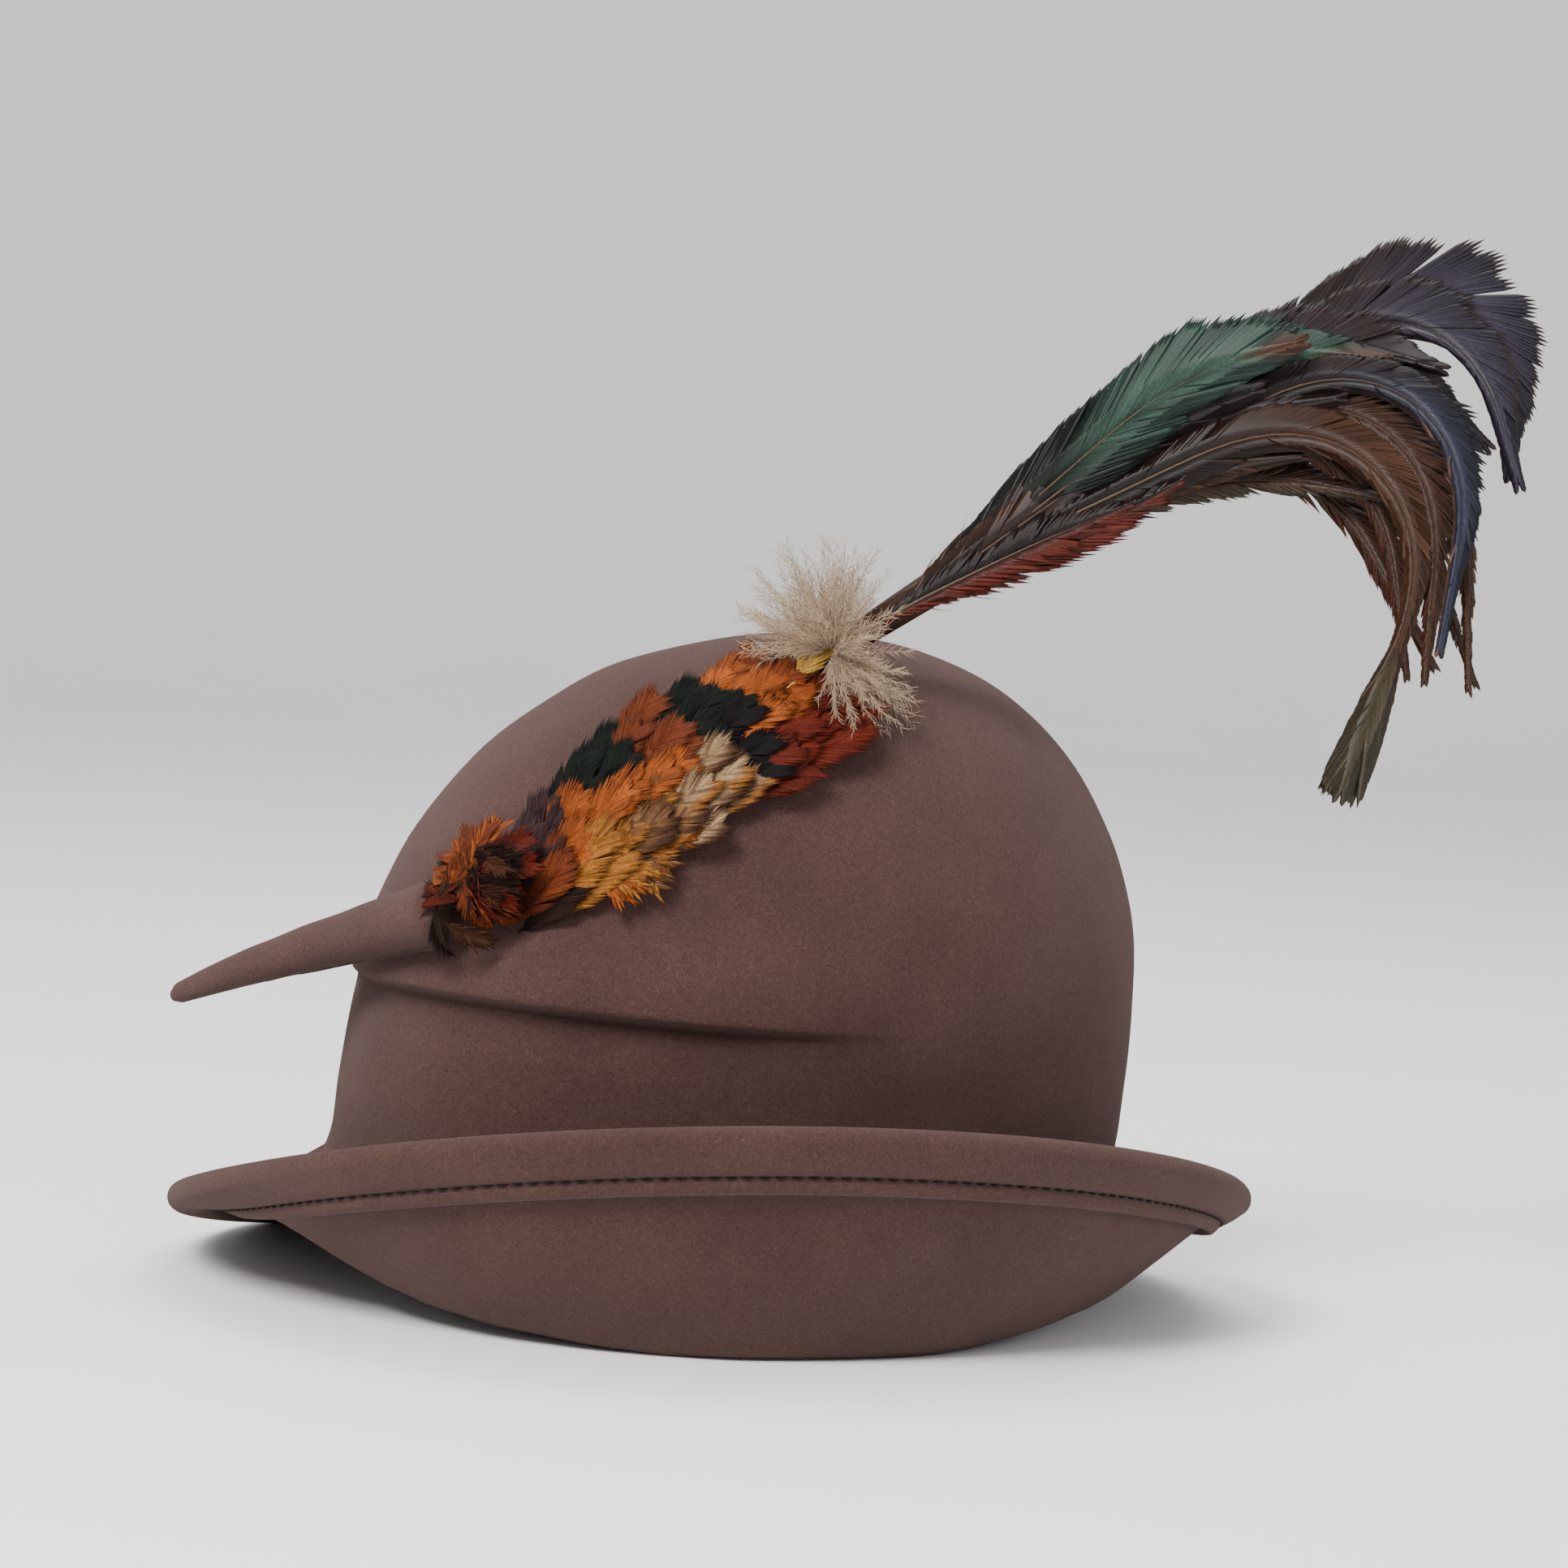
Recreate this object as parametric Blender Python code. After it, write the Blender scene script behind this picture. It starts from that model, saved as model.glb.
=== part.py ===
# Felt hat with a feather trim, built as a small assembly. Metres, +Z up, front towards -Y.
import math

import bpy
import bmesh
from mathutils import Matrix, Vector

for old in list(bpy.data.objects):
    bpy.data.objects.remove(old, do_unlink=True)

# Driving sizes of the felt body
FELT = 0.0026
GAP = 0.0004
EDGE_SIDE = 0.122
EDGE_FRONT = 0.126
HEAD_SIDE = 0.079
HEAD_FRONT = 0.097
HEAD_X = -0.001
HEAD_Y = 0.006
APEX_X = 0.014
APEX_Y = 0.010
APEX_Z = 0.152
LIFT = 0.052
LIFT_TURN = math.radians(64.0)
REST_SHARE = 0.14
EDGE_REST = 0.0030
BREAK_LOW = 0.0
BREAK_HIGH = 0.036
WALL_RISE = 0.012
HEM = 0.015
HEM_ROLL = 0.0031
FOLD_Z = 0.45 * APEX_Z
FOLD_OUT = 0.0038
FOLD_TURN = math.radians(17.0)
FOLD_SPAN = math.radians(62.0)
TURNS = 60

# Brim section: share of brim width, share of the height change if turned up, the same if turned down
BRIM = ((1.00, 1.00, 1.00), (0.86, 0.70, 0.95), (0.70, 0.41, 0.84), (0.52, 0.18, 0.64),
        (0.36, 0.03, 0.38), (0.24, 0.00, 0.16), (0.13, 0.01, 0.03))
# Crown section: share of crown height, share of head size
CROWN = ((0.00, 1.000), (0.13, 1.000), (0.27, 0.992), (0.41, 0.972), (0.54, 0.925), (0.66, 0.850),
         (0.77, 0.745), (0.86, 0.610), (0.93, 0.450), (0.98, 0.240), (1.00, 0.000))

# Axes of the upright plane that the trim sweeps in: along it, and out towards its face
SWEEP_TURN = math.radians(50.0)
ALONG = Vector((math.cos(SWEEP_TURN), math.sin(SWEEP_TURN), 0.0))
OUT = Vector((math.sin(SWEEP_TURN), -math.cos(SWEEP_TURN), 0.0))

# Rolled stem: root on the crown wall as turn and share of the way up, tip over the brim edge
ROOT_TURN = math.radians(9.0)
ROOT_SHARE = 0.362
ROOT_LIFT = 0.70 * FOLD_OUT
STEM_R_ROOT = 0.0080
TIP_TURN = math.radians(-36.0)
TIP_RISE = 0.046
STEM_R_TIP = 0.0024

# Feather pad: its run over the crown as turn from the front in degrees, share of the way up
PAD_RUN = ((15.0, 0.400), (24.0, 0.520), (38.0, 0.650), (56.0, 0.765))
PAD_HALF = 0.0125
PAD_THICK = 0.0024
PAD_LIFT = 0.0010
PAD_FEATHER = 0.034
# Feathers of the pad: start as share of the run, side as share of half width, shares of length and half width
PAD_FEATHERS = ((0.02, -0.45, 0.76, 0.44), (0.05, 0.45, 0.82, 0.48), (0.22, -0.10, 0.88, 0.56),
                (0.34, 0.60, 0.82, 0.48), (0.40, -0.60, 1.00, 0.40), (0.52, 0.10, 0.88, 0.56))

# Cream down: hub, and its tufts as heading in the sweep plane, lean outward, share of tuft length
DOWN_R = 0.0052
DOWN_TUFT = 0.021
DOWN_HALF = 0.0044
DOWN_TUFTS = ((165, 8, 0.86), (135, 0, 1.00), (108, 10, 0.95), (82, -5, 0.90), (100, -40, 0.80),
              (-24, 40, 0.76), (-52, 32, 0.95), (-80, 38, 0.80))

# Tail plume: bound quills, then feathers as share of length, first and last heading,
# bend from and to, share of half width, shift outward at root and tip as shares of length
PLUME_HEADING = 36.0
QUILLS = 0.062
QUILLS_R = 0.0046
TAIL = 0.198
TAIL_HALF = 0.0095
BLADE = 0.0007
TAILS = ((0.97, 37, -82, 0.62, 0.96, 1.00, -0.016, -0.061), (0.89, 34, -76, 0.50, 0.93, 0.84, 0.011, 0.030),
         (0.79, 26, -58, 0.45, 0.85, 0.53, -0.003, -0.020), (1.00, 29, -108, 0.38, 0.86, 0.58, 0.019, 0.091),
         (0.57, 45, 18, 0.55, 1.00, 0.95, 0.005, 0.061), (0.38, 24, 32, 0.20, 1.00, 0.50, 0.015, 0.045),
         (0.74, 40, -24, 0.58, 1.00, 0.79, -0.009, -0.035), (0.93, 31, -92, 0.46, 0.90, 0.55, 0.004, 0.061))


def clamp(value, low=0.0, high=1.0):
    return max(low, min(high, value))


def ease(value):
    value = clamp(value)
    return value * value * (3.0 - 2.0 * value)


def spline(points, steps, last=None):
    """Dense Catmull-Rom curve through the points, with `steps` points to each span."""
    last = last or points[-1] * 2 - points[-2]
    ends = [points[0] * 2 - points[1]] + list(points) + [last]
    out = []
    for k in range(1, len(ends) - 2):
        a, b, c, d = ends[k - 1:k + 3]
        for i in range(steps):
            t = i / steps
            out.append(0.5 * (2 * b + (c - a) * t + (2 * a - 5 * b + 4 * c - d) * t * t
                              + (3 * b - a - 3 * c + d) * t * t * t))
    out.append(points[-1].copy())
    return out


def lengths(line):
    """Distance from the start of a polyline to each of its points."""
    out = [0.0]
    for a, b in zip(line, line[1:]):
        out.append(out[-1] + (b - a).length)
    return out


def at_distance(line, done, want):
    k = 0
    while k < len(line) - 2 and done[k + 1] < want:
        k += 1
    return line[k].lerp(line[k + 1], clamp((want - done[k]) / max(done[k + 1] - done[k], 1e-9)))


def up_share(turn):
    return 0.5 * (1.0 + math.cos(turn - LIFT_TURN))


def edge_point(turn):
    share = clamp((up_share(turn) - REST_SHARE) / (1.0 - REST_SHARE))
    z = EDGE_REST + LIFT * share ** 1.2
    return Vector((EDGE_SIDE * math.sin(turn), -EDGE_FRONT * math.cos(turn), z))


def break_height(turn):
    return BREAK_LOW + (BREAK_HIGH - BREAK_LOW) * (1.0 - up_share(turn))


def crown_point(turn, share, size):
    base = break_height(turn) + WALL_RISE
    lean = share ** 1.2
    x = HEAD_X + (APEX_X - HEAD_X) * lean + HEAD_SIDE * size * math.sin(turn)
    y = HEAD_Y + (APEX_Y - HEAD_Y) * lean - HEAD_FRONT * size * math.cos(turn)
    return Vector((x, y, base + (APEX_Z - base) * share))


def section(turn):
    """Middle line of the felt from the brim edge to the top of the crown, and its wall start."""
    edge = edge_point(turn)
    foot = crown_point(turn, 0.0, 1.0)
    low = break_height(turn)
    raised = up_share(turn)
    points = []
    for width, up, down in BRIM:
        share = down + (up - down) * raised
        spot = foot.lerp(edge, width)
        spot.z = low + (edge.z - low) * share
        points.append(spot)
    wall = len(points)
    for share, size in CROWN:
        points.append(crown_point(turn, share, size))
    beyond = points[-1] * 2 - points[-2]
    beyond.z = points[-2].z
    return spline(points, 10, beyond), wall * 10


def middle_rows(turn):
    """Points of the middle line at the rows of the mesh, edge first."""
    line, wall = section(turn)
    done = lengths(line)
    rows = [at_distance(line, done, d) for d in HEM_ROWS]
    for share in BRIM_ROWS:
        rows.append(at_distance(line, done, HEM + (done[wall] - HEM) * share))
    fold = wall
    while line[fold].z < FOLD_Z:
        fold += 1
    for share in WALL_ROWS:
        rows.append(at_distance(line, done, done[wall] + (done[fold] - done[wall]) * share))
    for share in DOME_ROWS:
        rows.append(at_distance(line, done, done[fold] + (done[-1] - done[fold]) * share))
    # The felt lies flat where it meets the surface it rests on
    return [Vector((p.x, p.y, max(p.z, 0.46 * FELT))) for p in rows]


def fold_out(turn, row):
    """How far the soft fold stands out of the crown wall at a row."""
    away = abs((turn - FOLD_TURN + math.pi) % (2 * math.pi) - math.pi)
    return FOLD_OUT * FOLD_ROWS.get(row, 0.0) * ease((FOLD_SPAN - away) / (0.6 * FOLD_SPAN))


# Rows of the felt mesh: distances from the edge, then shares of brim, of wall below the fold, of dome
HEM_ROWS = (HEM_ROLL, 0.47 * HEM, 0.73 * HEM, 0.98 * HEM, 1.02 * HEM)
BRIM_ROWS = (0.12, 0.26, 0.40, 0.54, 0.68, 0.84, 1.0)
WALL_ROWS = (0.34, 0.66, 0.90, 0.98)
DOME_ROWS = (0.035, 0.09, 0.17, 0.27, 0.38, 0.49, 0.60, 0.70, 0.79, 0.87, 0.94)
FOLD_ROWS = {14: 0.0, 15: 1.0, 16: 0.86, 17: 0.5, 18: 0.16}


def new_object(name, mesh_bm, colour, roughness):
    mesh = bpy.data.meshes.new(name)
    bmesh.ops.recalc_face_normals(mesh_bm, faces=mesh_bm.faces)
    mesh_bm.to_mesh(mesh)
    mesh_bm.free()
    thing = bpy.data.objects.new(name, mesh)
    bpy.context.scene.collection.objects.link(thing)
    paint = bpy.data.materials.new(name)
    paint.use_nodes = True
    shader = paint.node_tree.nodes["Principled BSDF"]
    shader.inputs["Base Color"].default_value = (*colour, 1.0)
    shader.inputs["Roughness"].default_value = roughness
    shader.inputs["Metallic"].default_value = 0.0
    mesh.materials.append(paint)
    return thing


def felt_grid():
    turns = [2 * math.pi * k / TURNS for k in range(TURNS)]
    middle = [middle_rows(t) for t in turns]
    count = len(middle[0])
    apex = section(0.0)[0][-1]
    outer, inner = [], []
    for j in range(TURNS):
        before, after = middle[j - 1], middle[(j + 1) % TURNS]
        outs, ins = [], []
        for i in range(count):
            up = middle[j][i + 1] if i < count - 1 else apex
            down = middle[j][max(i - 1, 0)]
            normal = (after[i] - before[i]).cross(up - down).normalized()
            outs.append(middle[j][i] + normal * (FELT / 2 + fold_out(turns[j], i)))
            ins.append((middle[j][i], normal))
        outer.append(outs)
        inner.append(ins)
    return outer, inner, apex


def build_felt():
    """One closed shell: dome, wall, brim, rolled edge, turned hem, then back up the inside."""
    outer, inner, apex = felt_grid()
    loops = []
    for j in range(TURNS):
        rim, normal = inner[j][0]
        away = (rim - inner[j][1][0]).normalized()
        loop = list(reversed(outer[j]))
        heart = rim - normal * (FELT * 0.62)
        for k in range(1, 6):
            a = math.pi * k / 6
            loop.append(heart + normal * (HEM_ROLL * 0.97 * math.cos(a)) + away * (HEM_ROLL * math.sin(a)))
        for i in range(4):
            spot, face = inner[j][i]
            loop.append(spot - face * (FELT * 1.62))
        for spot, face in inner[j][4:]:
            loop.append(spot - face * (FELT / 2))
        loops.append(loop)
    bm = bmesh.new()
    rings = [[bm.verts.new((p.x, p.y, max(p.z, 0.0))) for p in loop] for loop in loops]
    top = bm.verts.new(apex + Vector((0, 0, FELT / 2)))
    under = bm.verts.new(apex - Vector((0, 0, FELT / 2)))
    for j in range(TURNS):
        a, b = rings[j], rings[(j + 1) % TURNS]
        for i in range(len(a) - 1):
            bm.faces.new((a[i], a[i + 1], b[i + 1], b[i]))
        bm.faces.new((top, a[0], b[0]))
        bm.faces.new((under, b[-1], a[-1]))
    return new_object("felt_body", bm, (0.105, 0.062, 0.060), 0.92)


def tube(bm, line, wide, thick, face, sides):
    """Closed body along a line: half widths across, half thicknesses towards the `face` direction."""
    rings = []
    for k, spot in enumerate(line):
        ahead = (line[min(k + 1, len(line) - 1)] - line[max(k - 1, 0)]).normalized()
        side = ahead.cross(face).normalized()
        over = side.cross(ahead).normalized()
        ring = []
        for s in range(sides):
            a = 2 * math.pi * s / sides
            ring.append(bm.verts.new(spot + side * (wide[k] * math.cos(a)) + over * (thick[k] * math.sin(a))))
        rings.append(ring)
    for a, b in zip(rings, rings[1:]):
        for s in range(sides):
            t = (s + 1) % sides
            bm.faces.new((a[s], a[t], b[t], b[s]))
    bm.faces.new(list(reversed(rings[0])))
    bm.faces.new(rings[-1])


def wall_point(turn, share):
    """Point of the middle of the felt, by share of the way from the foot of the wall to the top."""
    line, wall = section(turn)
    done = lengths(line)
    return at_distance(line, done, done[wall] + (done[-1] - done[wall]) * share)


def crown_frame(turn, share):
    """Point on the outside of the crown, the ways round and up, and the outward direction."""
    side = wall_point(turn + 0.02, share) - wall_point(turn - 0.02, share)
    rise = wall_point(turn, share + 0.01) - wall_point(turn, share - 0.01)
    normal = side.cross(rise).normalized()
    return wall_point(turn, share) + normal * (FELT / 2), side / 0.04, rise / 0.02, normal


def pad_frame(share):
    """Point on the crown under the pad, the way the pad runs, and the outward direction."""
    run = spline([Vector((math.radians(t), s, 0.0)) for t, s in PAD_RUN], 12)
    place = clamp(share) * (len(run) - 1.001)
    step = run[int(place) + 1] - run[int(place)]
    at = run[int(place)] + step * (place - int(place))
    spot, side, rise, normal = crown_frame(at.x, at.y)
    return spot, (side * step.x + rise * step.y).normalized(), normal


def sweep(heading, lean=0.0):
    """Direction in the sweep plane at a heading above level, leaned out of the plane."""
    a, b = math.radians(heading), math.radians(lean)
    return (ALONG * math.cos(a) + Vector((0.0, 0.0, math.sin(a)))) * math.cos(b) + OUT * math.sin(b)


def stem_ends():
    spot, side, rise, normal = crown_frame(ROOT_TURN, ROOT_SHARE)
    tip = edge_point(TIP_TURN) + Vector((0.0, 0.0, TIP_RISE))
    return tip, spot + normal * (STEM_R_ROOT + GAP + ROOT_LIFT)


def down_heart():
    spot, way, normal = pad_frame(1.0)
    return spot + normal * (PAD_LIFT + PAD_THICK + DOWN_R) + way * (DOWN_R + GAP)


def plume_root():
    return down_heart() + sweep(PLUME_HEADING) * (DOWN_R + QUILLS_R)


def build_stem():
    tip, root = stem_ends()
    shares = (0.0, 0.012, 0.05, 0.2, 0.4, 0.6, 0.8, 0.95, 0.985, 1.0)
    line = [tip.lerp(root, s) for s in shares]
    radii = [STEM_R_TIP + (STEM_R_ROOT - STEM_R_TIP) * s ** 0.9 for s in shares]
    radii[0] *= 0.62
    radii[-2] *= 0.86
    radii[-1] *= 0.55
    bm = bmesh.new()
    tube(bm, line, radii, radii, Vector((0.0, 0.0, 1.0)), 18)
    return new_object("felt_stem", bm, (0.105, 0.062, 0.060), 0.92)


def leaf(bm, line, half, face, sides=6):
    """Feather blade: narrow foot, broad middle, drawn to a blunt tip."""
    wide = []
    for k in range(len(line)):
        s = k / (len(line) - 1)
        wide.append(half * (0.22 + 0.78 * ease(s / 0.35)) * (1.0 - 0.86 * ease((s - 0.62) / 0.38)))
    tube(bm, line, wide, [BLADE * (1.0 - 0.35 * k / (len(line) - 1)) for k in range(len(line))], face, sides)


def fuse(base, parts):
    """Boolean union of loose closed parts into one body."""
    for part in parts:
        join = base.modifiers.new("join", "BOOLEAN")
        join.operation = "UNION"
        join.solver = "EXACT"
        join.object = part
        bpy.context.view_layer.update()
        made = bpy.data.meshes.new_from_object(base.evaluated_get(bpy.context.evaluated_depsgraph_get()))
        base.modifiers.remove(join)
        base.data = made
        bpy.data.objects.remove(part, do_unlink=True)
    return base


def loose(bm):
    return new_object("piece", bm, (0.2, 0.2, 0.2), 0.8)


def build_pad():
    rows, cols = 14, 6
    bm = bmesh.new()
    under, over = [], []
    for i in range(rows + 1):
        s = i / rows
        spot, way, normal = pad_frame(s)
        side = normal.cross(way)
        half = PAD_HALF * (0.45 + 0.55 * ease(s / 0.3)) * (1.0 - 0.5 * ease((s - 0.65) / 0.35))
        low, high = [], []
        for j in range(cols + 1):
            c = (2.0 * j / cols - 1.0) * half
            at = spot + side * c - normal * (c * c / (2 * HEAD_SIDE))
            low.append(bm.verts.new(at + normal * PAD_LIFT))
            high.append(bm.verts.new(at + normal * (PAD_LIFT + PAD_THICK * (1.0 - 0.5 * (c / half) ** 2))))
        under.append(low)
        over.append(high)
    for i in range(rows):
        for j in range(cols):
            bm.faces.new((over[i][j], over[i][j + 1], over[i + 1][j + 1], over[i + 1][j]))
            bm.faces.new((under[i][j], under[i + 1][j], under[i + 1][j + 1], under[i][j + 1]))
        for j in (0, cols):
            bm.faces.new((under[i][j], over[i][j], over[i + 1][j], under[i + 1][j]))
    for i in (0, rows):
        for j in range(cols):
            bm.faces.new((under[i][j], under[i][j + 1], over[i][j + 1], over[i][j]))
    pad = new_object("feather_pad", bm, (0.36, 0.10, 0.02), 0.7)
    parts = []
    pad_length = lengths([pad_frame(k / 12)[0] for k in range(13)])[-1]
    for start, offset, length, half in PAD_FEATHERS:
        bm = bmesh.new()
        line = []
        for k in range(7):
            spot, way, normal = pad_frame(start + k / 6 * length * PAD_FEATHER / pad_length)
            side = normal.cross(way)
            c = offset * PAD_HALF * (0.8 + 0.3 * k / 6)
            line.append(spot + side * c - normal * (c * c / (2 * HEAD_SIDE))
                        + normal * (PAD_LIFT + PAD_THICK * (0.55 + 1.1 * k / 6)))
        leaf(bm, line, half * PAD_HALF, normal)
        parts.append(loose(bm))
    return fuse(pad, parts)


def build_down():
    heart = down_heart()
    bm = bmesh.new()
    bmesh.ops.create_icosphere(bm, subdivisions=2, radius=DOWN_R)
    bmesh.ops.translate(bm, verts=bm.verts, vec=heart)
    down = new_object("cream_fluff", bm, (0.62, 0.55, 0.45), 0.9)
    parts = []
    for heading, lean, length in DOWN_TUFTS:
        way = sweep(heading, lean)
        bm = bmesh.new()
        line = [heart + way * (DOWN_R * 0.5 + (length * DOWN_TUFT - DOWN_R * 0.5) * k / 5) for k in range(6)]
        wide = [DOWN_HALF * share for share in (0.50, 0.82, 1.00, 0.86, 0.54, 0.18)]
        tube(bm, line, wide, [w * 0.62 for w in wide], OUT + Vector((0.03, 0.02, 0.05)), 8)
        parts.append(loose(bm))
    return fuse(down, parts)


def tail_line(feather, steps):
    """Centre line of one tail feather: straight rise, then an even bend over and down."""
    length, first, last, bend_from, bend_to, half, root, tip = feather
    spot = plume_root()
    line = []
    for k in range(steps + 1):
        shift = root + (tip - root) * (k / steps) ** 1.5
        line.append(spot + OUT * (shift * TAIL))
        middle = (k + 0.5) / steps
        bend = ease((middle - bend_from) / (bend_to - bend_from))
        start = PLUME_HEADING + (first - PLUME_HEADING) * ease(middle / 0.3)
        spot = spot + sweep(start + (last - start) * bend) * (length * TAIL / steps)
    return line


def build_plume():
    bm = bmesh.new()
    line = [plume_root() + sweep(PLUME_HEADING) * (QUILLS * k / 6) for k in range(7)]
    wide = [QUILLS_R * (1.0 - 0.35 * k / 6) for k in range(7)]
    tube(bm, line, wide, [w * 0.9 for w in wide], OUT, 12)
    plume = new_object("tail_plume", bm, (0.05, 0.035, 0.03), 0.5)
    parts = []
    for feather in TAILS:
        bm = bmesh.new()
        line = tail_line(feather, 18)
        leaf(bm, line[1:], feather[5] * TAIL_HALF, OUT + Vector((0.0, 0.0, 0.15)))
        parts.append(loose(bm))
    return fuse(plume, parts)


def settle(things):
    """Stand the whole part on the origin, under the middle of its bounding box."""
    spots = [v.co for thing in things for v in thing.data.vertices]
    middle = [(min(p[k] for p in spots) + max(p[k] for p in spots)) / 2 for k in range(2)]
    low = min(p.z for p in spots)
    for thing in things:
        thing.data.transform(Matrix.Translation((-middle[0], -middle[1], -low)))


settle([build_felt(), build_stem(), build_pad(), build_down(), build_plume()])
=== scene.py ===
import math
import random

import bpy
from mathutils import Matrix, Vector, noise


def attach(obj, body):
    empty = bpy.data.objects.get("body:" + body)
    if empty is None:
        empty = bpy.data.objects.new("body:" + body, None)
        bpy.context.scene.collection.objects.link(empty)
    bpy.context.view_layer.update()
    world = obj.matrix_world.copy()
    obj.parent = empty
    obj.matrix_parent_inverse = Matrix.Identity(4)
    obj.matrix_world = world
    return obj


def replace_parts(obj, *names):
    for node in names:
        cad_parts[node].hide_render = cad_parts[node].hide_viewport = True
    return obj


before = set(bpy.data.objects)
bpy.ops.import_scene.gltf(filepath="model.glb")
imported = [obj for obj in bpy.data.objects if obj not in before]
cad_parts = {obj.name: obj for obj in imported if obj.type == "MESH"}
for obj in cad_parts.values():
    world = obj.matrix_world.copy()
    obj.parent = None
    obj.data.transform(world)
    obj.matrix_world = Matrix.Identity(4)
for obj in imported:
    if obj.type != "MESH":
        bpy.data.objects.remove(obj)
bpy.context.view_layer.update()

# Driving sizes in metres, and turns round the crown in radians, the same as in the part
FELT, GAP = 0.0026, 0.0004
EDGE_SIDE, EDGE_FRONT = 0.122, 0.126
HEAD_SIDE, HEAD_FRONT = 0.079, 0.097
HEAD_X, HEAD_Y = -0.001, 0.006
APEX_X, APEX_Y, APEX_Z = 0.014, 0.010, 0.152
LIFT = 0.052
LIFT_TURN = math.radians(64.0)
REST_SHARE = 0.14
EDGE_REST = 0.0030
BREAK_LOW, BREAK_HIGH = 0.0, 0.036
WALL_RISE = 0.012
HEM, HEM_ROLL = 0.015, 0.0031
STITCH_AT = 0.0106
FOLD_Z = 0.45 * APEX_Z
FOLD_OUT = 0.0038
FOLD_TURN = math.radians(17.0)
FOLD_SPAN = math.radians(62.0)
BRIM = ((1.00, 1.00, 1.00), (0.86, 0.70, 0.95), (0.70, 0.41, 0.84), (0.52, 0.18, 0.64),
        (0.36, 0.03, 0.38), (0.24, 0.00, 0.16), (0.13, 0.01, 0.03))
CROWN = ((0.00, 1.000), (0.13, 1.000), (0.27, 0.992), (0.41, 0.972), (0.54, 0.925), (0.66, 0.850),
         (0.77, 0.745), (0.86, 0.610), (0.93, 0.450), (0.98, 0.240), (1.00, 0.000))
SECTION_STEPS = 10
SWEEP_TURN = math.radians(50.0)
ALONG = Vector((math.cos(SWEEP_TURN), math.sin(SWEEP_TURN), 0.0))
OUT = Vector((math.sin(SWEEP_TURN), -math.cos(SWEEP_TURN), 0.0))
UP = Vector((0.0, 0.0, 1.0))
ROOT_TURN, ROOT_SHARE, STEM_R_ROOT = math.radians(9.0), 0.362, 0.0080
ROOT_LIFT = 0.70 * FOLD_OUT
TIP_TURN, TIP_RISE, STEM_R_TIP = math.radians(-36.0), 0.046, 0.0024
PAD_RUN = ((15.0, 0.400), (24.0, 0.520), (38.0, 0.650), (56.0, 0.765))
PAD_HALF, PAD_THICK, PAD_LIFT = 0.0125, 0.0024, 0.0010
DOWN_R = 0.0052
PLUME_HEADING = 36.0
QUILLS, QUILLS_R = 0.062, 0.0046
TAIL, TAIL_HALF = 0.198, 0.0095

# The felt node tells where the part's own axes lie in the frame
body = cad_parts["felt_body"]
top = max((body.matrix_world @ v.co for v in body.data.vertices), key=lambda p: p.z)
HOME = top - Vector((APEX_X, APEX_Y, APEX_Z + FELT / 2))
TAU = 2 * math.pi


def clamp(value, low=0.0, high=1.0):
    return max(low, min(high, value))


def ease(value):
    value = clamp(value)
    return value * value * (3.0 - 2.0 * value)


def mix(a, b, share):
    return tuple(x + (y - x) * share for x, y in zip(a, b))


def spline(points, steps, last=None):
    last = last or points[-1] * 2 - points[-2]
    ends = [points[0] * 2 - points[1]] + list(points) + [last]
    out = []
    for k in range(1, len(ends) - 2):
        a, b, c, d = ends[k - 1:k + 3]
        for i in range(steps):
            t = i / steps
            out.append(0.5 * (2 * b + (c - a) * t + (2 * a - 5 * b + 4 * c - d) * t * t
                              + (3 * b - a - 3 * c + d) * t * t * t))
    out.append(points[-1].copy())
    return out


def lengths(line):
    out = [0.0]
    for a, b in zip(line, line[1:]):
        out.append(out[-1] + (b - a).length)
    return out


def at_distance(line, done, want):
    low, high = 0, len(line) - 2
    while low < high:
        half = (low + high + 1) // 2
        if done[half] <= want:
            low = half
        else:
            high = half - 1
    share = (want - done[low]) / max(done[low + 1] - done[low], 1e-9)
    return line[low].lerp(line[low + 1], clamp(share))


def up_share(turn):
    return 0.5 * (1.0 + math.cos(turn - LIFT_TURN))


def edge_point(turn):
    share = clamp((up_share(turn) - REST_SHARE) / (1.0 - REST_SHARE))
    return Vector((EDGE_SIDE * math.sin(turn), -EDGE_FRONT * math.cos(turn), EDGE_REST + LIFT * share ** 1.2))


def crown_point(turn, share, size):
    base = BREAK_LOW + (BREAK_HIGH - BREAK_LOW) * (1.0 - up_share(turn)) + WALL_RISE
    lean = share ** 1.2
    x = HEAD_X + (APEX_X - HEAD_X) * lean + HEAD_SIDE * size * math.sin(turn)
    y = HEAD_Y + (APEX_Y - HEAD_Y) * lean - HEAD_FRONT * size * math.cos(turn)
    return Vector((x, y, base + (APEX_Z - base) * share))


def section(turn):
    """Middle line of the felt from the brim edge to the top of the crown, and its wall start."""
    edge = edge_point(turn)
    foot = crown_point(turn, 0.0, 1.0)
    low = BREAK_LOW + (BREAK_HIGH - BREAK_LOW) * (1.0 - up_share(turn))
    points = []
    for width, up, down in BRIM:
        spot = foot.lerp(edge, width)
        spot.z = low + (edge.z - low) * (down + (up - down) * up_share(turn))
        points.append(spot)
    wall = len(points) * SECTION_STEPS
    points += [crown_point(turn, share, size) for share, size in CROWN]
    beyond = points[-1] * 2 - points[-2]
    beyond.z = points[-2].z
    return spline(points, SECTION_STEPS, beyond), wall


def wall_point(turn, share):
    line, wall = section(turn)
    done = lengths(line)
    return at_distance(line, done, done[wall] + (done[-1] - done[wall]) * share)


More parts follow.
